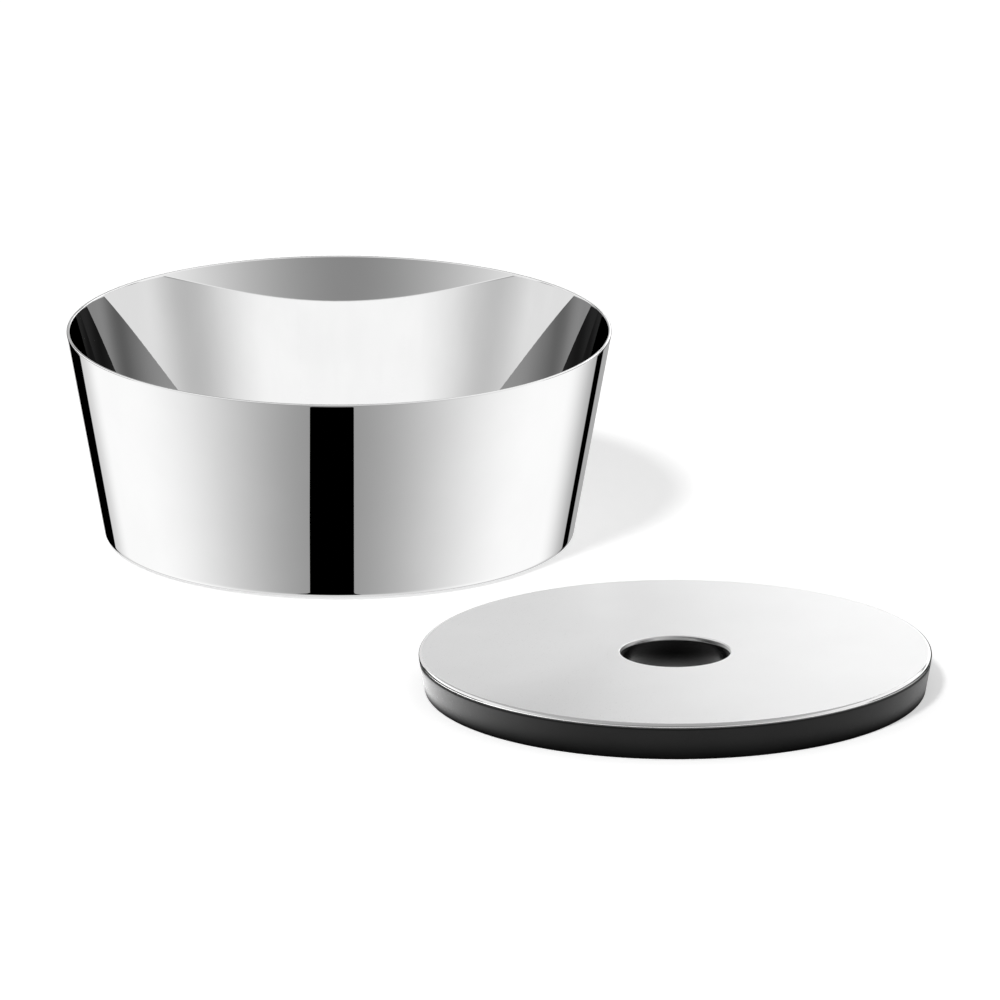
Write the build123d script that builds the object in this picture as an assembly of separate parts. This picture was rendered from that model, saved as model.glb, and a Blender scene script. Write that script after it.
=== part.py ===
"""Round steel storage box with a drop-in lid that lies on the table beside it.

Millimetres, +Z up. The origin is the middle of the face that the box stands on.
"""

import os
from math import atan, cos, radians, sin, tan

from build123d import *

# Box: one drawn steel sheet, wider at the rim than at the base
rim_radius = 70.0
base_radius = 60.1
shell_height = 54.3
sheet = 0.8
bottom_bend_radius = 0.8
rim_round_share = 0.4

# Raised panel in the bottom of the box, which takes the pad
panel_margin = 9.1
panel_rise = 1.0
panel_step_angle = 45.0
panel_bend_share = 0.6

# Pad under the box, and the film that holds it
pad_projection = 0.5
pad_margin = 2.5
pad_film = 0.2
pad_film_margin = 1.0
pad_round_share = 0.25

# Lid as a whole: it drops into the box and stops where the leaning wall gets too narrow for it
seat_depth = 21.0
lid_clearance = 0.1
lid_height = 9.8
finger_hole_radius = 14.0

# Steel plate of the lid, and the film under it
plate_sheet = 1.0
plate_round_share = 0.8
hole_round_share = 0.25
plate_film = 0.35
plate_film_margin = 2.0

# Moulded carrier of the lid
web = 2.0
skirt_wall = 2.2
sleeve_wall = 1.8
sleeve_setback = 0.5
sleeve_foot_gap = 0.8
rib_count = 6
first_rib_angle = 30.0
rib_thickness = 1.6
rib_foot_gap = 2.0
root_share = 0.5
shoulder_round = 0.35
foot_round_share = 0.25
inner_round_share = 0.4

# Where the lid lies: the gap between the two rims, and the direction from the box in degrees from +X
lid_gap = 28.25
lid_bearing = -58.6

# Sizes that follow from the ones above
wall_slope = (rim_radius - base_radius) / shell_height
wall_run = sheet / cos(atan(wall_slope))
shell_bottom = pad_projection
rim_level = shell_bottom + shell_height
panel_under = shell_bottom + panel_rise
panel_radius = base_radius - panel_margin
pad_radius = panel_radius - pad_margin
pad_thickness = panel_under - pad_film
plate_under = lid_height - plate_sheet
carrier_height = plate_under - plate_film


def lid_side_radius(level):
    """Radius of the lid's leaning side at a level above its foot: the seated lid clears the box's wall by one gap."""
    depth = seat_depth + lid_height - level
    return rim_radius - wall_run - wall_slope * depth - lid_clearance


plate_radius = lid_side_radius(plate_under)


def turned(outline, rounds):
    """Turns an outline of (radius, level) corners about the Z axis, with some of its corners rounded."""
    face = make_face(Polyline(*outline, close=True))
    for corner, radius in rounds:
        face = fillet(face.vertices().sort_by_distance(corner)[0], radius)
    return revolve(Plane.XZ * face, Axis.Z)


def box_shell():
    """Drawn bowl: a bottom with a raised panel, a leaning wall and a plain rim with its edges taken off."""
    step_run = panel_rise / tan(radians(panel_step_angle))
    fold_shift = sheet * tan(radians(panel_step_angle) / 2)
    panel_bend_radius = panel_rise * panel_bend_share
    rim_round = sheet * rim_round_share
    floor_level = shell_bottom + sheet
    panel_level = panel_under + sheet
    panel_edge = (panel_radius, panel_under)
    panel_foot = (panel_radius + step_run, shell_bottom)
    bottom_corner = (base_radius, shell_bottom)
    rim_outside = (rim_radius, rim_level)
    rim_inside = (rim_radius - wall_run, rim_level)
    floor_corner = (base_radius + wall_slope * sheet - wall_run, floor_level)
    panel_inner_foot = (panel_radius + step_run + fold_shift, floor_level)
    panel_inner_edge = (panel_radius + fold_shift, panel_level)
    outline = [
        (0, panel_under),
        panel_edge,
        panel_foot,
        bottom_corner,
        rim_outside,
        rim_inside,
        floor_corner,
        panel_inner_foot,
        panel_inner_edge,
        (0, panel_level),
    ]
    rounds = [
        (panel_edge, panel_bend_radius),
        (panel_foot, panel_bend_radius + sheet),
        (bottom_corner, bottom_bend_radius + sheet),
        (rim_outside, rim_round),
        (rim_inside, rim_round),
        (floor_corner, bottom_bend_radius),
        (panel_inner_foot, panel_bend_radius),
        (panel_inner_edge, panel_bend_radius + sheet),
    ]
    return turned(outline, rounds)


def base_pad():
    """Soft disc that stands a little proud of the box's bottom."""
    foot_edge = (pad_radius, 0)
    outline = [(0, 0), foot_edge, (pad_radius, pad_thickness), (0, pad_thickness)]
    return turned(outline, [(foot_edge, pad_thickness * pad_round_share)])


def pad_adhesive():
    """Film between the pad and the raised panel."""
    film_radius = pad_radius - pad_film_margin
    outline = [(0, pad_thickness), (film_radius, pad_thickness), (film_radius, panel_under), (0, panel_under)]
    return turned(outline, [])


def lid_plate():
    """Steel disc with a soft outer edge and the finger hole."""
    outer_edge = (plate_radius, lid_height)
    hole_edge = (finger_hole_radius, lid_height)
    outline = [(finger_hole_radius, plate_under), (plate_radius, plate_under), outer_edge, hole_edge]
    rounds = [(outer_edge, plate_sheet * plate_round_share), (hole_edge, plate_sheet * hole_round_share)]
    return turned(outline, rounds)


def plate_adhesive():
    """Film between the carrier and the plate, kept back from both edges of the plate."""
    inner = finger_hole_radius + plate_film_margin
    outer = plate_radius - plate_film_margin
    outline = [(inner, carrier_height), (outer, carrier_height), (outer, plate_under), (inner, plate_under)]
    return turned(outline, [])


def carrier_ribs(sleeve_bore, skirt_bore, web_under):
    """Radial ribs from the sleeve to the skirt, rooted in the sleeve, the skirt and the web."""
    start = sleeve_bore + sleeve_wall * root_share
    end = skirt_bore + skirt_wall * root_share
    top = web_under + web * root_share
    rib = Box(end - start, rib_thickness, top - rib_foot_gap)
    rib = Pos((start + end) / 2, 0, (rib_foot_gap + top) / 2) * rib
    return [Rot(0, 0, first_rib_angle + 360 * turn / rib_count) * rib for turn in range(rib_count)]


def lid_carrier():
    """Hollow moulding: a web under the plate, a leaning skirt to stand on, a sleeve in the finger hole and ribs."""
    web_under = carrier_height - web
    skirt_bore = lid_side_radius(0) - skirt_wall
    sleeve_bore = finger_hole_radius + sleeve_setback
    sleeve_outside = sleeve_bore + sleeve_wall
    shoulder = (lid_side_radius(carrier_height), carrier_height)
    foot_outside = (lid_side_radius(0), 0)
    foot_inside = (skirt_bore, 0)
    skirt_root = (skirt_bore, web_under)
    sleeve_root = (sleeve_outside, web_under)
    sleeve_foot = (sleeve_outside, sleeve_foot_gap)
    sleeve_lip = (sleeve_bore, sleeve_foot_gap)
    sleeve_top = (sleeve_bore, carrier_height)
    outline = [sleeve_lip, sleeve_foot, sleeve_root, skirt_root, foot_inside, foot_outside, shoulder, sleeve_top]
    rounds = [
        (shoulder, shoulder_round),
        (foot_outside, skirt_wall * foot_round_share),
        (foot_inside, skirt_wall * foot_round_share),
        (skirt_root, skirt_wall * inner_round_share),
        (sleeve_root, sleeve_wall * inner_round_share),
        (sleeve_foot, sleeve_wall * inner_round_share),
        (sleeve_lip, sleeve_wall * inner_round_share),
    ]
    return turned(outline, rounds) + carrier_ribs(sleeve_bore, skirt_bore, web_under)


def lid_place():
    """Middle of the lid's foot on the table."""
    reach = rim_radius + lid_gap + plate_radius
    return Pos(reach * cos(radians(lid_bearing)), reach * sin(radians(lid_bearing)), 0)


nodes = {
    "box_shell": box_shell(),
    "base_pad": base_pad(),
    "pad_adhesive": pad_adhesive(),
    "lid_plate": lid_place() * lid_plate(),
    "plate_adhesive": lid_place() * plate_adhesive(),
    "lid_carrier": lid_place() * lid_carrier(),
}

os.makedirs("parts", exist_ok=True)
for name, solid in nodes.items():
    export_step(solid, f"parts/{name}.step")
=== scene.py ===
"""Looks of a round steel storage box and of the lid that lies beside it.

Metres, +Z up, in the frame of the CAD part.
"""

import math

import bpy
from mathutils import Matrix, Vector


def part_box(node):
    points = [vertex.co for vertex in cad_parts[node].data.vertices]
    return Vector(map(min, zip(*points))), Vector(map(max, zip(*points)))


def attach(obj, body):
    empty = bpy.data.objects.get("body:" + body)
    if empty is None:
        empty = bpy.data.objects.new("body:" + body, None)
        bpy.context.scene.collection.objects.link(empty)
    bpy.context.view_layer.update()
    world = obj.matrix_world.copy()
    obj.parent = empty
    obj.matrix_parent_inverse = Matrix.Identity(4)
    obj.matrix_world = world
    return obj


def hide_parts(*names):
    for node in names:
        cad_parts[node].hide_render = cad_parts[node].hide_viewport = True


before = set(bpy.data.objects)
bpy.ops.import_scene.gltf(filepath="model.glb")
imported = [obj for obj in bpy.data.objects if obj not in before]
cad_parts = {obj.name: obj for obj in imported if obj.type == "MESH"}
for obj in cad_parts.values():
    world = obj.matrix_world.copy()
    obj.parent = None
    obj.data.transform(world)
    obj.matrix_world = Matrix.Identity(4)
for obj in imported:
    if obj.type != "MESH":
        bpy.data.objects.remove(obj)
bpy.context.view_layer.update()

# Sizes of the drawn box
rim_radius = 0.0700
base_radius = 0.0601
shell_height = 0.0543
sheet = 0.0008
bottom_bend_radius = 0.0008
rim_round = 0.00032
panel_margin = 0.0091
panel_rise = 0.0010
panel_step_angle = math.radians(45)
panel_bend_radius = 0.0006
pad_round = 0.000325

# Sizes of the lid
finger_hole_radius = 0.0140
plate_round = 0.0008
hole_round = 0.00025
plate_foot_round = 0.00018
skirt_wall = 0.0022
sleeve_setback = 0.0005
sleeve_wall = 0.0018
sleeve_foot_gap = 0.0008
web = 0.0020
shoulder_round = 0.00035
foot_round = 0.00055
skirt_root_round = 0.00088
sleeve_round = 0.00072
rib_count = 6
rib_thickness = 0.0016
rib_foot_gap = 0.0020
first_rib_angle = math.radians(30)
rib_edge_round = 0.0003

# Places read from the frame
shell_lo, shell_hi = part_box("box_shell")
pad_lo, pad_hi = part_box("base_pad")
plate_lo, plate_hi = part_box("lid_plate")
carrier_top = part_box("lid_carrier")[1].z
lid_centre = (plate_lo + plate_hi) / 2
lid_place = Vector((lid_centre.x, lid_centre.y, 0))
plate_radius = (plate_hi.x - plate_lo.x) / 2
wall_slope = (rim_radius - base_radius) / shell_height
wall_run = sheet / math.cos(math.atan(wall_slope))

# How finely the pieces are made
turn_segments = 288
arc_steps = 8
flat_support = 0.0003
support_share = 0.25
half_step = 0.5
weld_distance = 0.000002
rib_edge_steps = 4
crease_angle = math.radians(30)

# Ends of a plain step
rising = (0.0, 1.0)
falling = (1.0, 0.0)

# Plain colours
black = (0, 0, 0, 1)
white = (1, 1, 1, 1)

# Finishes: what part of a noise is used, scales of the noises, tones, roughness and depth of the grain
cloud_span = (0.3, 0.7)
grain_span = (0.2, 0.8)
grain_depth = 0.0001
haze_scale = 60.0
haze_detail = 4.0
buff_scale = 6000.0
buff_span = (0.15, 0.40)
polished_tones = (0.92, 0.94)
polished_roughness = (0.003, 0.010)
blast_scale = 3500.0
blast_detail = 2.0
blast_strength = 0.04
blast_roughness = (0.27, 0.33)
satin_cloud_scale = 40.0
satin_tones = (0.87, 0.89)
edge_blend = 0.0001
edge_roughness = 0.08
cloud_detail = 3.0
mould_scale = 2500.0
mould_detail = 3.0
mould_strength = 0.08
mould_roughness = (0.27, 0.35)
mould_cloud_scale = 90.0
mould_tones = (0.004, 0.006)
mould_specular = 0.22
# Painted shade: colour of the finger hole's bore, darker than the moulding
painted_bore_shade_tone = 0.001
rubbed_roughness = 0.18
rubber_scale = 1500.0
rubber_span = (0.0, 0.8)
rubber_strength = 0.3
rubber_tones = (0.03, 0.045)
rubber_roughness = (0.7, 0.9)
film_scale = 300.0
film_tones = (0.04, 0.06)
film_roughness = (0.5, 0.65)

# Camera of the photograph's view: the box's origin falls on origin_px of a picture_px square
picture_px = 1000
px_per_metre = 3891.2
origin_px = (339.3, 534.6)
camera_elevation = math.radians(16.25)
camera_distance = 9.8
camera_far_end = 100.0
sensor_width = 36.0

# Surround that mirrors see, in degrees: azimuth 0 is the camera's side, positive to the right
fill_level = 0.42
front_shift = 3.75
once_mirrored = 1.5
wall_side_span = (2.0, 105.0)
wall_side_tones = (0.32, 1.03)
left_end_span = (-150.0, -132.0)
left_end_shares = (0.66, 1.0)
right_end_span = (121.0, 152.0)
right_end_shares = (1.0, 0.42)
left_flag_span = (-172.0, -150.7)
right_flag_span = (149.4, 158.8)
right_strip_span = (158.8, 172.0)
right_strip_tone = 0.42
flag_soft = 1.0
behind_span = (140.0, 165.0)
downward_span = (-75.0, -50.0)
steep_tone = 0.75
wall_rise = (-28.0, -23.0)
horizon_span = (0.0, 120.0)
horizon_tones = (0.26, 1.05)
dome_span = (55.0, 80.0)
dome_tones = (0.95, 0.5)
dome_rise = (24.0, 40.0)
glint_azimuth = (-150.0, -125.0)
glint_elevation = (8.0, 26.0)
glint_soft = 6.0
glint_tone = 1.3
upper_rise = (-10.0, 0.0)
dark_azimuth = (95.0, 178.0)
dark_azimuth_soft = 8.0
dark_elevation = (-12.5, 5.0)
dark_elevation_soft = 3.0
dark_tone = 0.03
beyond_rise = (13.0, 21.0)
beyond_tone = 0.84
deep_span = (2.0, 3.6)
deep_shares = (1.0, 0.03)

# Floor, and what the lid sees of it, with painted light and shade
floor_reach = 10.0
floor_tone = 0.8
floor_lift = 0.46
lid_sight = 0.0225
foreground_shift = Vector((0, -0.020, 0))
foreground_reach = 0.085
contact_reach = 0.010
slant_span = (-0.06, 0.05)
slant_shares = (3.0, 1.0)
hole_glow = 5.0
hole_glow_span = (0.004, 0.011)

# Black flag in front of the box
stripe_px = (310, 354)
flag_distance = 0.4
flag_raise = 0.6
flag_drop = 6.0

# Ring of cards in the finger hole, whose glowing upper part is a painted reflection of the hole's steel edge
liner_sides = 24
liner_sight = 0.035
liner_tilt = 0.1
liner_rise = (0.0014, 0.0018)
liner_half_width = 0.012
liner_reflection_tones = (0.14, 0.45)

# Lit panel behind
lamp_left = -0.33
lamp_right = 0.78
lamp_foot = 0.0
lamp_top = 0.85
lamp_behind = 0.45
lamp_border = 0.08
lamp_across = (lid_place.x - 0.093, lid_place.x + 0.062)
lamp_tones = (0.472, 1.44)
lamp_rise = (0.03, 0.11)
lamp_gap = (0.215, 0.262)
lamp_gap_soft = 0.006
lamp_gap_share = 0.2
lamp_fall = (0.28, 0.42)
lamp_fall_shares = (1.0, 0.68)

# Grey card above the lid's front edge
screen_height = 0.025
screen_half_width = 0.070
screen_sight = 0.050
screen_ahead = 0.075
screen_behind = 0.085
screen_side_span = (0.02, 0.06)
screen_edge_tones = (0.42, 0.48)
screen_inner_tone = 0.85
screen_side_fade = 0.010
screen_back_fade = 0.040

# Key light
key_level = 1.5
key_azimuth = math.radians(-25)
key_elevation = math.radians(49)
key_softness = math.radians(9)


class Tree:
    """Short hand for a node tree: adds a node, sets its plain inputs and links the sockets among them."""

    def __init__(self, tree):
        self.tree = tree
        self.tree.nodes.clear()

    def add(self, kind, inputs=None, **settings):
        node = self.tree.nodes.new(kind)
        for name, value in settings.items():
            setattr(node, name, value)
        for key, value in (inputs or {}).items():
            if isinstance(value, bpy.types.NodeSocket):
                self.tree.links.new(value, node.inputs[key])
            else:
                node.inputs[key].default_value = value
        return node

    def math(self, operation, *values):
        return self.add("ShaderNodeMath", dict(enumerate(values)), operation=operation).outputs[0]

    def ramp(self, value, span, tones=rising):
        """Smooth step from the first tone to the second over a span of the value."""
        ends = {"From Min": span[0], "From Max": span[1], "To Min": tones[0], "To Max": tones[1]}
        step = self.add("ShaderNodeMapRange", {"Value": value, **ends}, interpolation_type="SMOOTHSTEP")
        return step.outputs["Result"]

    def mix(self, share, without, full):
        return self.add("ShaderNodeMix", {0: share, 2: without, 3: full}).outputs[0]

    def band(self, value, span, soft):
        """1 within a span of the value, 0 outside it, with soft edges."""
        rise, fall = [(end - soft / 2, end + soft / 2) for end in span]
        return self.math("MULTIPLY", self.ramp(value, rise), self.ramp(value, fall, falling))

    def place(self):
        return self.add("ShaderNodeTexCoord").outputs["Object"]

    def axes(self, vector):
        return self.add("ShaderNodeSeparateXYZ", {0: vector}).outputs

    def noise(self, place, scale, detail):
        return self.add("ShaderNodeTexNoise", {"Vector": place, "Scale": scale, "Detail": detail}).outputs["Fac"]

    def bump(self, height, strength):
        inputs = {"Height": height, "Strength": strength, "Distance": grain_depth}
        return self.add("ShaderNodeBump", inputs).outputs[0]

    def blend(self, share, without, full):
        """Mix of two shaders."""
        return self.add("ShaderNodeMixShader", {0: share, 1: without.outputs[0], 2: full.outputs[0]})

    def surface(self, shader):
        self.add("ShaderNodeOutputMaterial", {"Surface": shader.outputs[0]})


# Turned pieces

def rounded_outline(corners):
    """Closed outline of (radius, level) points. Each corner (radius, level, rounding) becomes an arc with a support
    point beyond each end, so that the flats beside it stay flat in the light."""
    count = len(corners)
    places = [Vector(corner[:2]) for corner in corners]
    ways, cuts = [], []
    for i, corner in enumerate(corners):
        back = (places[i - 1] - places[i]).normalized()
        ahead = (places[(i + 1) % count] - places[i]).normalized()
        ways.append((back, ahead))
        cuts.append(corner[2] / math.tan(back.angle(ahead) / 2))
    points = []
    for i, corner in enumerate(corners):
        if not corner[2]:
            points.append(places[i])
            continue
        back, ahead = ways[i]
        free_back = (places[i - 1] - places[i]).length - cuts[i] - cuts[i - 1]
        free_ahead = (places[(i + 1) % count] - places[i]).length - cuts[i] - cuts[(i + 1) % count]
        half = back.angle(ahead) / 2
        middle = places[i] + (back + ahead).normalized() * corner[2] / math.sin(half)
        start = places[i] + back * cuts[i] - middle
        end = places[i] + ahead * cuts[i] - middle
        sweep = start.angle_signed(end)
        points.append(places[i] + back * (cuts[i] + min(flat_support, free_back * support_share)))
        for step in range(arc_steps + 1):
            points.append(middle + Matrix.Rotation(-sweep * step / arc_steps, 2) @ start)
        points.append(places[i] + ahead * (cuts[i] + min(flat_support, free_ahead * support_share)))
    return points


def turning_tree():
    """Geometry nodes that turn a row of points in the XZ plane about the Z axis into a closed skin."""
    group = bpy.data.node_groups.new("Turned piece", "GeometryNodeTree")
    face = group.interface
    face.new_socket("Outline", in_out="INPUT", socket_type="NodeSocketGeometry")
    face.new_socket("Segments", in_out="INPUT", socket_type="NodeSocketInt")
    face.new_socket("Place", in_out="INPUT", socket_type="NodeSocketVector")
    face.new_socket("Finish", in_out="INPUT", socket_type="NodeSocketMaterial")
    face.new_socket("Skin", in_out="OUTPUT", socket_type="NodeSocketGeometry")
    tree = Tree(group)
    given = tree.add("NodeGroupInput").outputs
    size = tree.add("GeometryNodeAttributeDomainSize", {"Geometry": given["Outline"]}, component="MESH")
    around = tree.math("ADD", given["Segments"], 1)
    grid = tree.add("GeometryNodeMeshGrid", {"Vertices X": size.outputs["Point Count"], "Vertices Y": around})
    index = tree.add("GeometryNodeInputIndex").outputs[0]
    along = tree.math("FLOOR", tree.math("DIVIDE", tree.math("ADD", index, half_step), around))
    turn = tree.math("SUBTRACT", index, tree.math("MULTIPLY", along, around))
    angle = tree.math("MULTIPLY", tree.math("DIVIDE", turn, given["Segments"]), -2 * math.pi)
    position = tree.add("GeometryNodeInputPosition").outputs[0]
    sampled = tree.add(
        "GeometryNodeSampleIndex",
        {"Geometry": given["Outline"], "Value": position, "Index": along},
        data_type="FLOAT_VECTOR",
    )
    point = tree.axes(sampled.outputs[0])
    x = tree.math("MULTIPLY", point["X"], tree.math("COSINE", angle))
    y = tree.math("MULTIPLY", point["X"], tree.math("SINE", angle))
    turned = tree.add("ShaderNodeCombineXYZ", {"X": x, "Y": y, "Z": point["Z"]}).outputs[0]
    skin = tree.add("GeometryNodeSetPosition", {"Geometry": grid.outputs["Mesh"], "Position": turned})
    welded = tree.add("GeometryNodeMergeByDistance", {"Geometry": skin.outputs[0], "Distance": weld_distance})
    moved = tree.add("GeometryNodeTransform", {"Geometry": welded.outputs[0], "Translation": given["Place"]})
    real = tree.add("GeometryNodeRealizeInstances", {"Geometry": moved.outputs[0]})
    painted = tree.add("GeometryNodeSetMaterial", {"Geometry": real.outputs[0], "Material": given["Finish"]})
    tree.add("NodeGroupOutput", {"Skin": painted.outputs[0]})
    return group


def rib_tree():
    """Geometry nodes that add a ring of upright ribs with rounded long edges to a moulding."""
    group = bpy.data.node_groups.new("Ring of ribs", "GeometryNodeTree")
    face = group.interface
    face.new_socket("Moulding", in_out="INPUT", socket_type="NodeSocketGeometry")
    face.new_socket("Count", in_out="INPUT", socket_type="NodeSocketInt")
    for name in ("First Angle", "Start", "End", "Foot", "Top", "Thickness", "Edge Round"):
        face.new_socket(name, in_out="INPUT", socket_type="NodeSocketFloat")
    face.new_socket("Place", in_out="INPUT", socket_type="NodeSocketVector")
    face.new_socket("Finish", in_out="INPUT", socket_type="NodeSocketMaterial")
    face.new_socket("Skin", in_out="OUTPUT", socket_type="NodeSocketGeometry")
    tree = Tree(group)
    given = tree.add("NodeGroupInput").outputs
    height = tree.math("SUBTRACT", given["Top"], given["Foot"])
    middle = tree.math("DIVIDE", tree.math("ADD", given["Top"], given["Foot"]), 2)
    start = tree.add("ShaderNodeCombineXYZ", {"X": given["Start"], "Z": middle}).outputs[0]
    end = tree.add("ShaderNodeCombineXYZ", {"X": given["End"], "Z": middle}).outputs[0]
    rail = tree.add("GeometryNodeCurvePrimitiveLine", {"Start": start, "End": end})
    upright = tree.add("GeometryNodeSetCurveNormal", {"Curve": rail.outputs[0]}, mode="Z_UP")
    section = tree.add("GeometryNodeCurvePrimitiveQuadrilateral", {"Width": given["Thickness"], "Height": height})
    rounded = tree.add(
        "GeometryNodeFilletCurve",
        {"Curve": section.outputs[0], "Count": rib_edge_steps, "Radius": given["Edge Round"]},
        mode="POLY",
    )
    rib = tree.add(
        "GeometryNodeCurveToMesh",
        {"Curve": upright.outputs[0], "Profile Curve": rounded.outputs[0], "Fill Caps": True},
    )
    index = tree.add("GeometryNodeInputIndex").outputs[0]
    step = tree.math("DIVIDE", 2 * math.pi, given["Count"])
    angle = tree.math("ADD", tree.math("MULTIPLY", index, step), given["First Angle"])
    turn = tree.add("ShaderNodeCombineXYZ", {"Z": angle}).outputs[0]
    seats = tree.add("GeometryNodePoints", {"Count": given["Count"]})
    ring = tree.add(
        "GeometryNodeInstanceOnPoints",
        {"Points": seats.outputs[0], "Instance": rib.outputs[0], "Rotation": turn},
    )
    moved = tree.add("GeometryNodeTransform", {"Geometry": ring.outputs[0], "Translation": given["Place"]})
    ribs = tree.add("GeometryNodeRealizeInstances", {"Geometry": moved.outputs[0]})
    union = tree.add("GeometryNodeMeshBoolean", {"Mesh 2": given["Moulding"]}, operation="UNION", solver="EXACT")
    group.links.new(ribs.outputs[0], union.inputs["Mesh 2"])
    real = tree.add("GeometryNodeRealizeInstances", {"Geometry": union.outputs[0]})
    painted = tree.add("GeometryNodeSetMaterial", {"Geometry": real.outputs[0], "Material": given["Finish"]})
    tree.add("NodeGroupOutput", {"Skin": painted.outputs[0]})
    return group


def made_piece(piece, group, inputs):
    """Runs a geometry node group on a piece and keeps the result as its plain mesh."""
    modifier = piece.modifiers.new("Make", "NODES")
    modifier.node_group = group
    for socket in group.interface.items_tree:
        if socket.in_out == "INPUT" and socket.name in inputs:
            modifier[socket.identifier] = inputs[socket.name]
    made = bpy.data.meshes.new_from_object(piece.evaluated_get(bpy.context.evaluated_depsgraph_get()))
    piece.modifiers.clear()
    piece.data = made
    made.name = piece.name
    made.shade_smooth()
    made.set_sharp_from_angle(angle=crease_angle)


def turned_piece(name, corners, finish, place=(0, 0, 0)):
    """Piece turned from the corners of its outline, about an axis at its place."""
    points = rounded_outline(corners)
    points.append(points[0])
    outline = bpy.data.meshes.new(name)
    outline.from_pydata([(p.x, 0, p.y) for p in points], [(i, i + 1) for i in range(len(points) - 1)], [])
    piece = bpy.data.objects.new(name, outline)
    bpy.context.scene.collection.objects.link(piece)
    made_piece(piece, turning_tree(), {"Segments": turn_segments, "Place": place, "Finish": finish})
    return piece


def ribbed(carrier, finish):
    """Adds the ribs that run from the sleeve to the skirt under the web."""
    sleeve_bore = finger_hole_radius + sleeve_setback
    sizes = {
        "Count": rib_count,
        "First Angle": first_rib_angle,
        "Start": sleeve_bore + sleeve_wall / 2,
        "End": lid_side_radius(0) - skirt_wall / 2,
        "Foot": rib_foot_gap,
        "Top": carrier_top - web / 2,
        "Thickness": rib_thickness,
        "Edge Round": rib_edge_round,
        "Place": lid_place,
        "Finish": finish,
    }
    made_piece(carrier, rib_tree(), sizes)


def lid_side_radius(level):
    """Radius of the lid's leaning side at a level above its foot."""
    return plate_radius - wall_slope * (plate_lo.z - level)


def shell_corners():
    bottom, rim = shell_lo.z, shell_hi.z
    step_run = panel_rise / math.tan(panel_step_angle)
    fold_shift = sheet * math.tan(panel_step_angle / 2)
    panel_radius = base_radius - panel_margin
    panel_under = bottom + panel_rise
    return [
        (0, panel_under, 0),
        (panel_radius, panel_under, panel_bend_radius),
        (panel_radius + step_run, bottom, panel_bend_radius + sheet),
        (base_radius, bottom, bottom_bend_radius + sheet),
        (rim_radius, rim, rim_round),
        (rim_radius - wall_run, rim, rim_round),
        (base_radius + wall_slope * sheet - wall_run, bottom + sheet, bottom_bend_radius),
        (panel_radius + step_run + fold_shift, bottom + sheet, panel_bend_radius),
        (panel_radius + fold_shift, panel_under + sheet, panel_bend_radius + sheet),
        (0, panel_under + sheet, 0),
    ]


def pad_corners():
    radius = (pad_hi.x - pad_lo.x) / 2
    return [(0, 0, 0), (radius, 0, pad_round), (radius, pad_hi.z, 0), (0, pad_hi.z, 0)]


def plate_corners():
    return [
        (finger_hole_radius, plate_lo.z, 0),
        (plate_radius, plate_lo.z, plate_foot_round),
        (plate_radius, plate_hi.z, plate_round),
        (finger_hole_radius, plate_hi.z, hole_round),
    ]


def carrier_corners():
    foot_radius = lid_side_radius(0)
    skirt_bore = foot_radius - skirt_wall
    sleeve_bore = finger_hole_radius + sleeve_setback
    sleeve_outside = sleeve_bore + sleeve_wall
    return [
        (sleeve_bore, sleeve_foot_gap, sleeve_round),
        (sleeve_outside, sleeve_foot_gap, sleeve_round),
        (sleeve_outside, carrier_top - web, sleeve_round),
        (skirt_bore, carrier_top - web, skirt_root_round),
        (skirt_bore, 0, foot_round),
        (foot_radius, 0, foot_round),
        (lid_side_radius(carrier_top), carrier_top, shoulder_round),
        (sleeve_bore, carrier_top, 0),
    ]


# Finishes

def new_finish(name):
    material = bpy.data.materials.new(name)
    material.use_nodes = True
    return material, Tree(material.node_tree)


def polished_steel():
    """Mirror polish with a faint haze and the finest marks of the turning buff."""
    material, tree = new_finish("polished_steel")
    place = tree.place()
    haze = tree.noise(place, haze_scale, haze_detail)
    level = tree.axes(place)["Z"]
    marks = tree.add("ShaderNodeTexNoise", {"W": level, "Scale": buff_scale}, noise_dimensions="1D").outputs["Fac"]
    buffed = tree.math("MULTIPLY", haze, marks)
    shader = tree.add(
        "ShaderNodeBsdfPrincipled",
        {
            "Base Color": tree.ramp(haze, cloud_span, polished_tones),
            "Metallic": 1.0,
            "Roughness": tree.ramp(buffed, buff_span, polished_roughness),
        },
    )
    tree.surface(shader)
    return material


def from_lid_axis(tree, place):
    """Distance of a point from the lid's axis."""
    centred = tree.add("ShaderNodeMapping", {"Vector": place, "Location": -lid_place}).outputs[0]
    level = tree.add("ShaderNodeVectorMath", {0: centred, 1: (1, 1, 0)}, operation="MULTIPLY").outputs[0]
    return tree.add("ShaderNodeVectorMath", {0: level}, operation="LENGTH").outputs["Value"]


def satin_steel():
    """Fine blasted face with polished edges at the rim and at the finger hole."""
    material, tree = new_finish("satin_steel")
    place = tree.place()
    grain = tree.noise(place, blast_scale, blast_detail)
    cloud = tree.noise(place, satin_cloud_scale, cloud_detail)
    reach = from_lid_axis(tree, place)
    face_edge = plate_radius - plate_round
    face_hole = finger_hole_radius + hole_round
    outside = tree.ramp(reach, (face_edge - edge_blend, face_edge))
    inside = tree.ramp(reach, (face_hole, face_hole + edge_blend), falling)
    polished = tree.math("MAXIMUM", outside, inside)
    blasted = tree.ramp(grain, grain_span, blast_roughness)
    shader = tree.add(
        "ShaderNodeBsdfPrincipled",
        {
            "Base Color": tree.ramp(cloud, cloud_span, satin_tones),
            "Metallic": 1.0,
            "Roughness": tree.mix(polished, blasted, edge_roughness),
            "Normal": tree.bump(grain, blast_strength),
        },
    )
    tree.surface(shader)
    return material


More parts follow.
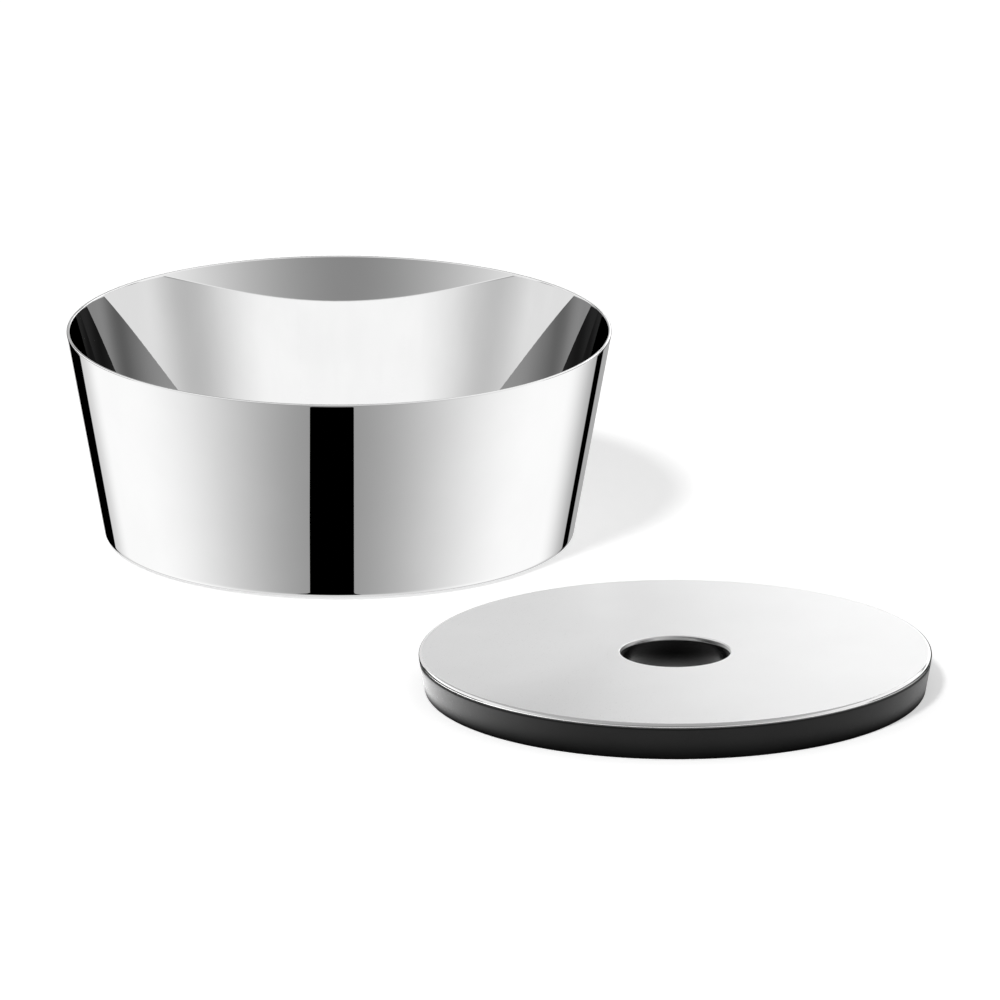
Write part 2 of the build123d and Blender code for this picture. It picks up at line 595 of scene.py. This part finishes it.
def black_plastic():
    """Satin moulding, smooth in the finger hole and coloured deep black there as painted shade, and rubbed a little
    smoother where it stands.
    """
    material, tree = new_finish("black_plastic")
    place = tree.place()
    grain = tree.noise(place, mould_scale, mould_detail)
    cloud = tree.noise(place, mould_cloud_scale, cloud_detail)
    level = tree.axes(place)["Z"]
    moulded = tree.ramp(grain, grain_span, mould_roughness)
    rubbed = tree.math("MULTIPLY", tree.ramp(level, (0.0, foot_round), falling), cloud)
    bore = finger_hole_radius + sleeve_setback
    in_bore = tree.ramp(from_lid_axis(tree, place), (bore + edge_blend, bore + sleeve_round), falling)
    smooth = tree.math("MAXIMUM", rubbed, in_bore)
    # The bore's deep black base colour is painted shade; its smoothness is roughness only
    shader = tree.add(
        "ShaderNodeBsdfPrincipled",
        {
            "Base Color": tree.mix(in_bore, tree.ramp(cloud, cloud_span, mould_tones), painted_bore_shade_tone),
            "Roughness": tree.mix(smooth, moulded, rubbed_roughness),
            "Specular IOR Level": mould_specular,
            "Normal": tree.bump(grain, mould_strength),
        },
    )
    tree.surface(shader)
    return material


def pad_rubber():
    """Matt rubber with a fine pebbled grain."""
    material, tree = new_finish("pad_rubber")
    inputs = {"Vector": tree.place(), "Scale": rubber_scale}
    grain = tree.add("ShaderNodeTexVoronoi", inputs).outputs["Distance"]
    shader = tree.add(
        "ShaderNodeBsdfPrincipled",
        {
            "Base Color": tree.ramp(grain, rubber_span, rubber_tones),
            "Roughness": tree.ramp(grain, rubber_span, rubber_roughness),
            "Normal": tree.bump(grain, rubber_strength),
        },
    )
    tree.surface(shader)
    return material


def bonding_film():
    """Dark film with a faint cloud."""
    material, tree = new_finish("bonding_film")
    cloud = tree.add("ShaderNodeTexNoise", {"Vector": tree.place(), "Scale": film_scale}).outputs["Fac"]
    shader = tree.add(
        "ShaderNodeBsdfPrincipled",
        {
            "Base Color": tree.ramp(cloud, cloud_span, film_tones),
            "Roughness": tree.ramp(cloud, cloud_span, film_roughness),
        },
    )
    tree.surface(shader)
    return material


# Surroundings

def studio_world():
    """White to the camera and an even fill for matt surfaces. Reflections see a white surround that is greyer in front,
    with black flags at the sides and a dark horizon."""
    world = bpy.data.worlds.new("studio")
    bpy.context.scene.world = world
    world.use_nodes = True
    tree = Tree(world.node_tree)
    path = tree.add("ShaderNodeLightPath").outputs
    axes = tree.axes(tree.add("ShaderNodeTexCoord").outputs["Generated"])
    azimuth = tree.math("DEGREES", tree.math("ARCTAN2", axes["X"], tree.math("MULTIPLY", axes["Y"], -1.0)))
    elevation = tree.math("DEGREES", tree.math("ARCSINE", axes["Z"]))
    from_front = tree.math("ABSOLUTE", tree.math("ADD", azimuth, front_shift))
    to_back = tree.math("ABSOLUTE", azimuth)
    again = tree.math("GREATER_THAN", path["Glossy Depth"], once_mirrored)

    # What the box's wall mirrors, below the horizon
    sides = tree.ramp(from_front, wall_side_span, wall_side_tones)
    left_end = tree.ramp(azimuth, left_end_span, left_end_shares)
    right_end = tree.ramp(azimuth, right_end_span, right_end_shares)
    lit = tree.math("MULTIPLY", sides, tree.math("MULTIPLY", left_end, right_end))
    left_flag = tree.band(azimuth, left_flag_span, flag_soft)
    right_flag = tree.band(azimuth, right_flag_span, flag_soft)
    right_strip = tree.band(azimuth, right_strip_span, flag_soft)
    toned = tree.mix(right_strip, lit, right_strip_tone)
    flagged = tree.mix(tree.math("MAXIMUM", left_flag, right_flag), toned, 0.0)
    steep = tree.mix(tree.ramp(to_back, behind_span), lit, steep_tone)
    steep = tree.mix(tree.ramp(elevation, downward_span, falling), steep, steep_tone)
    low = tree.mix(tree.ramp(elevation, wall_rise), steep, flagged)

    # What the lid and the inside of the box mirror, above it
    horizon = tree.ramp(from_front, horizon_span, horizon_tones)
    dome = tree.ramp(elevation, dome_span, dome_tones)
    high = tree.mix(tree.ramp(elevation, dome_rise), horizon, dome)
    glint_across = tree.band(azimuth, glint_azimuth, glint_soft)
    glint = tree.math("MULTIPLY", glint_across, tree.band(elevation, glint_elevation, glint_soft))
    glint = tree.math("MULTIPLY", glint, tree.math("SUBTRACT", 1.0, again))
    high = tree.mix(glint, high, glint_tone)
    surround = tree.mix(tree.ramp(elevation, upper_rise), low, high)
    dark_across = tree.band(to_back, dark_azimuth, dark_azimuth_soft)
    dark = tree.math("MULTIPLY", dark_across, tree.band(elevation, dark_elevation, dark_elevation_soft))
    surround = tree.mix(dark, surround, dark_tone)

    # What the lid sees mirrored in the box, and what the bowl mirrors again and again
    beyond = tree.math("MULTIPLY", again, tree.ramp(elevation, beyond_rise, falling))
    seen = tree.mix(beyond, surround, beyond_tone)
    deep = tree.ramp(path["Glossy Depth"], deep_span, deep_shares)
    studio = tree.add("ShaderNodeBackground", {"Color": seen, "Strength": deep})
    fill = tree.add("ShaderNodeBackground", {"Color": white, "Strength": fill_level})
    backdrop = tree.add("ShaderNodeBackground", {"Color": white})
    straight = tree.math("MAXIMUM", path["Is Camera Ray"], path["Is Transmission Ray"])
    shown = tree.blend(straight, tree.blend(path["Is Glossy Ray"], fill, studio), backdrop)
    tree.add("ShaderNodeOutputWorld", {"Surface": shown.outputs[0]})


def stage_card(name, corners, material):
    """Flat card of the stage."""
    mesh = bpy.data.meshes.new(name)
    mesh.from_pydata(corners, [], [tuple(range(len(corners)))])
    mesh.materials.append(material)
    card = bpy.data.objects.new(name, mesh)
    bpy.context.scene.collection.objects.link(card)
    return card


def for_reflections_only(card):
    card.visible_camera = False
    card.visible_diffuse = False
    card.visible_transmission = False
    card.visible_shadow = False


def studio_floor():
    """Pale floor, white to the camera where it is lit. It keeps the shadows and shows nothing from below. Mirrors look
    through it to the surround; only the lid sees it, close by, with painted shade that darkens it towards the contact
    and under the lid, and a painted glow in the finger hole."""
    material, tree = new_finish("floor_white")
    path = tree.add("ShaderNodeLightPath").outputs
    mirrored = path["Is Glossy Ray"]
    place = tree.place()
    axes = tree.axes(place)
    across, depth = axes["X"], axes["Y"]
    reach = from_lid_axis(tree, place)
    in_hole = tree.math("LESS_THAN", reach, finger_hole_radius)
    under_lid = tree.math("LESS_THAN", reach, lid_side_radius(0))

    # How light the floor is to the lid, all painted light and shade: a painted glow in the hole towards the back, a
    # painted shadow under the lid, and around the lid painted shade towards the contact, lighter to the back left
    aside = tree.math("ABSOLUTE", tree.math("SUBTRACT", across, lid_place.x))
    hole_back = (lid_place.y, lid_place.y + finger_hole_radius)
    to_back = tree.ramp(depth, hole_back, (0.0, hole_glow))
    to_back = tree.math("MULTIPLY", to_back, tree.ramp(aside, hole_glow_span, falling))
    slant = tree.math("SUBTRACT", tree.math("SUBTRACT", across, depth), lid_place.x - lid_place.y)
    painted_contact_shade = tree.ramp(path["Ray Length"], (0.0, contact_reach))
    around = tree.math("MULTIPLY", painted_contact_shade, tree.ramp(slant, slant_span, slant_shares))
    shade = tree.mix(mirrored, 1.0, tree.mix(in_hole, tree.mix(under_lid, around, 0.0), to_back))
    shown = tree.math("MAXIMUM", path["Is Camera Ray"], mirrored)
    matt = tree.add("ShaderNodeBsdfDiffuse", {"Color": tree.math("MULTIPLY", shade, floor_tone)})
    glow = tree.math("MULTIPLY", tree.math("MULTIPLY", shown, shade), floor_lift)
    lift = tree.add("ShaderNodeEmission", {"Strength": glow})
    face = tree.add("ShaderNodeAddShader", {0: matt.outputs[0], 1: lift.outputs[0]})

    # Where mirrors look through it
    away = tree.add("ShaderNodeVectorMath", {0: place, 1: lid_place + foreground_shift}, operation="DISTANCE")
    by_lid = tree.math("LESS_THAN", away.outputs["Value"], foreground_reach)
    close = tree.math("LESS_THAN", path["Ray Length"], lid_sight)
    unseen = tree.math("SUBTRACT", 1.0, tree.math("MULTIPLY", by_lid, close))
    under = tree.add("ShaderNodeNewGeometry").outputs["Backfacing"]
    gone = tree.math("MAXIMUM", under, tree.math("MULTIPLY", mirrored, unseen))
    tree.surface(tree.blend(gone, face, tree.add("ShaderNodeBsdfTransparent")))
    corners = [(x * floor_reach, y * floor_reach, 0) for x, y in ((-1, -1), (1, -1), (1, 1), (-1, 1))]
    stage_card("floor", corners, material)


def mirrored_way(point):
    """Way in which the box's wall mirrors the camera's sight at a point of it."""
    to_camera = Vector((0, -math.cos(camera_elevation), math.sin(camera_elevation)))
    outward = Vector((point.x, point.y, -wall_slope * Vector((point.x, point.y)).length)).normalized()
    return 2 * to_camera.dot(outward) * outward - to_camera


def near_only(tree, surface, sight, faded=0.0):
    """Shows a card only to rays no longer than a sight, and less of it where it is faded."""
    far = tree.math("GREATER_THAN", tree.add("ShaderNodeLightPath").outputs["Ray Length"], sight)
    gone = tree.math("MAXIMUM", far, faded)
    tree.surface(tree.blend(gone, surface, tree.add("ShaderNodeBsdfTransparent")))


def black_flag():
    """Black card that the wall mirrors as an upright stripe of even width."""
    corners = []
    for edge_px, level in ((0, shell_lo.z), (1, shell_lo.z), (1, shell_hi.z), (0, shell_hi.z)):
        x = (stripe_px[edge_px] - origin_px[0]) / px_per_metre
        radius = base_radius + wall_slope * (level - shell_lo.z)
        point = Vector((x, -math.sqrt(radius**2 - x**2), level))
        way = mirrored_way(point)
        corners.append(point + way * (flag_distance / -way.y))
    for low, high in ((0, 3), (1, 2)):
        upward = corners[high] - corners[low]
        corners[low] -= upward * flag_drop
        corners[high] += upward * flag_raise
    material, tree = new_finish("flag_black")
    tree.surface(tree.add("ShaderNodeBsdfDiffuse", {"Color": black}))
    for_reflections_only(stage_card("black_flag", corners, material))


def hole_liner():
    """Ring of dark cards in the sleeve's wall, in place of the sleeve itself, which reflections pass through. Their
    upper part glows grey as a painted reflection of the hole's steel edge, with painted light that is lighter to the
    right; what the sleeve itself mirrors is black."""
    radius = finger_hole_radius + sleeve_setback + sleeve_wall / 2
    material, tree = new_finish("liner_black_and_painted_reflection")
    axes = tree.axes(tree.place())
    depth = tree.math("SUBTRACT", axes["Y"], lid_place.y)
    rise = tree.math("SUBTRACT", axes["Z"], tree.math("MULTIPLY", depth, liner_tilt))
    lit = tree.ramp(rise, liner_rise)
    tone = tree.ramp(axes["X"], (lid_place.x - liner_half_width, lid_place.x + liner_half_width), liner_reflection_tones)
    # Painted reflection: grey glow on the upper part for the hole's steel edge, lighter to the right
    painted_edge_reflection = tree.add("ShaderNodeEmission", {"Strength": tree.math("MULTIPLY", lit, tone)})
    near_only(tree, painted_edge_reflection, liner_sight)
    foot, top = Vector((0, 0, sleeve_foot_gap)), Vector((0, 0, carrier_top))
    for side in range(liner_sides):
        ends = [side * 2 * math.pi / liner_sides, (side + 1) * 2 * math.pi / liner_sides]
        a, b = [lid_place + radius * Vector((math.cos(turn), math.sin(turn), 0)) for turn in ends]
        for_reflections_only(stage_card("hole_liner", [a + foot, b + foot, b + top, a + top], material))


def back_panel():
    """Lit panel behind that the lid's satin face mirrors: two parts with a dark gap between them, brighter to the
    right, with soft borders. Only a first reflection sees it."""
    material, tree = new_finish("panel_white")
    axes = tree.axes(tree.place())
    across = tree.ramp(axes["X"], lamp_across, lamp_tones)
    gap = tree.band(axes["Z"], lamp_gap, lamp_gap_soft)
    upward = tree.math("MULTIPLY", tree.ramp(axes["Z"], lamp_rise), tree.mix(gap, 1.0, lamp_gap_share))
    upward = tree.math("MULTIPLY", upward, tree.ramp(axes["Z"], lamp_fall, lamp_fall_shares))
    lamp = tree.add("ShaderNodeEmission", {"Strength": tree.math("MULTIPLY", across, upward)})
    beside = tree.band(axes["X"], (lamp_left + lamp_border / 2, lamp_right - lamp_border / 2), lamp_border)
    below = tree.ramp(axes["Z"], (lamp_top - lamp_border, lamp_top), falling)
    depth = tree.add("ShaderNodeLightPath").outputs["Glossy Depth"]
    once = tree.math("LESS_THAN", depth, once_mirrored)
    shown = tree.math("MULTIPLY", once, tree.math("MULTIPLY", beside, below))
    tree.surface(tree.blend(shown, tree.add("ShaderNodeBsdfTransparent"), lamp))
    corners = [
        (lamp_left, lamp_behind, lamp_foot),
        (lamp_right, lamp_behind, lamp_foot),
        (lamp_right, lamp_behind, lamp_top),
        (lamp_left, lamp_behind, lamp_top),
    ]
    for_reflections_only(stage_card("back_panel", corners, material))


def grey_screen():
    """Grey card above the front half of the lid, which tones down the plate's rounded edge there. It is darker over
    the edge and fades out at the sides and at the back."""
    material, tree = new_finish("screen_grey")
    place = tree.place()
    axes = tree.axes(place)
    z = plate_hi.z + screen_height
    left, right = lid_place.x - screen_half_width, lid_place.x + screen_half_width
    edge = lid_place.y - plate_radius
    front, back = edge - screen_ahead, edge + screen_behind
    aside = tree.math("ABSOLUTE", tree.math("SUBTRACT", axes["X"], lid_place.x))
    by_edge = tree.ramp(aside, screen_side_span, screen_edge_tones)
    inward = tree.ramp(from_lid_axis(tree, place), (plate_radius - screen_behind, plate_radius), falling)
    level = tree.mix(inward, by_edge, screen_inner_tone)
    to_side = tree.ramp(aside, (screen_half_width - screen_side_fade, screen_half_width))
    to_back = tree.ramp(axes["Y"], (back - screen_back_fade, back))
    faded = tree.math("MAXIMUM", to_side, to_back)
    near_only(tree, tree.add("ShaderNodeEmission", {"Strength": level}), screen_sight, faded)
    corners = [(left, front, z), (right, front, z), (right, back, z), (left, back, z)]
    for_reflections_only(stage_card("grey_screen", corners, material))


def key_light():
    """Distant soft key from the front left. It casts the shadows and isn't mirrored."""
    lamp = bpy.data.lights.new("key", "SUN")
    lamp.energy = key_level
    lamp.angle = key_softness
    key = bpy.data.objects.new("key", lamp)
    level = math.cos(key_elevation)
    way = Vector((level * math.sin(key_azimuth), -level * math.cos(key_azimuth), math.sin(key_elevation)))
    key.location = way
    key.rotation_mode = "QUATERNION"
    key.rotation_quaternion = (-way).to_track_quat("-Z", "Y")
    key.visible_glossy = False
    bpy.context.scene.collection.objects.link(key)


def photo_camera():
    """Distant camera at the photograph's viewing angle and frame."""
    away = Vector((0, -math.cos(camera_elevation), math.sin(camera_elevation)))
    right = Vector((1, 0, 0))
    up = Vector((0, math.sin(camera_elevation), math.cos(camera_elevation)))
    half = picture_px / 2
    aim = right * (half - origin_px[0]) / px_per_metre + up * (origin_px[1] - half) / px_per_metre
    data = bpy.data.cameras.new("photo_camera")
    data.sensor_width = sensor_width
    data.lens = sensor_width * px_per_metre * camera_distance / picture_px
    data.clip_end = camera_far_end
    camera = bpy.data.objects.new("photo_camera", data)
    camera.location = away * camera_distance
    camera.rotation_mode = "QUATERNION"
    camera.rotation_quaternion = (aim - camera.location).to_track_quat("-Z", "Y")
    bpy.context.scene.collection.objects.link(camera)
    bpy.context.scene.camera = camera


steel_mirror = polished_steel()
steel_satin = satin_steel()
plastic = black_plastic()
rubber = pad_rubber()
film = bonding_film()

shell = turned_piece("drawn_shell", shell_corners(), steel_mirror)
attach(shell, "box")
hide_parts("box_shell")
pad = turned_piece("soft_pad", pad_corners(), rubber)
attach(pad, "box")
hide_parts("base_pad")
plate = turned_piece("top_plate", plate_corners(), steel_satin, lid_place)
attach(plate, "lid")
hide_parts("lid_plate")
for name in ("pad_adhesive", "plate_adhesive"):
    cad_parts[name].data.materials.clear()
    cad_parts[name].data.materials.append(film)
carrier = turned_piece("moulded_carrier", carrier_corners(), plastic, lid_place)
ribbed(carrier, plastic)
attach(carrier, "lid")
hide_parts("lid_carrier")

# The photograph's box doesn't mirror the lid
for piece in (plate, carrier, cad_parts["plate_adhesive"]):
    piece.visible_glossy = False

studio_world()
studio_floor()
black_flag()
hole_liner()
back_panel()
grey_screen()
key_light()
photo_camera()
bpy.context.scene.view_settings.view_transform = "Standard"
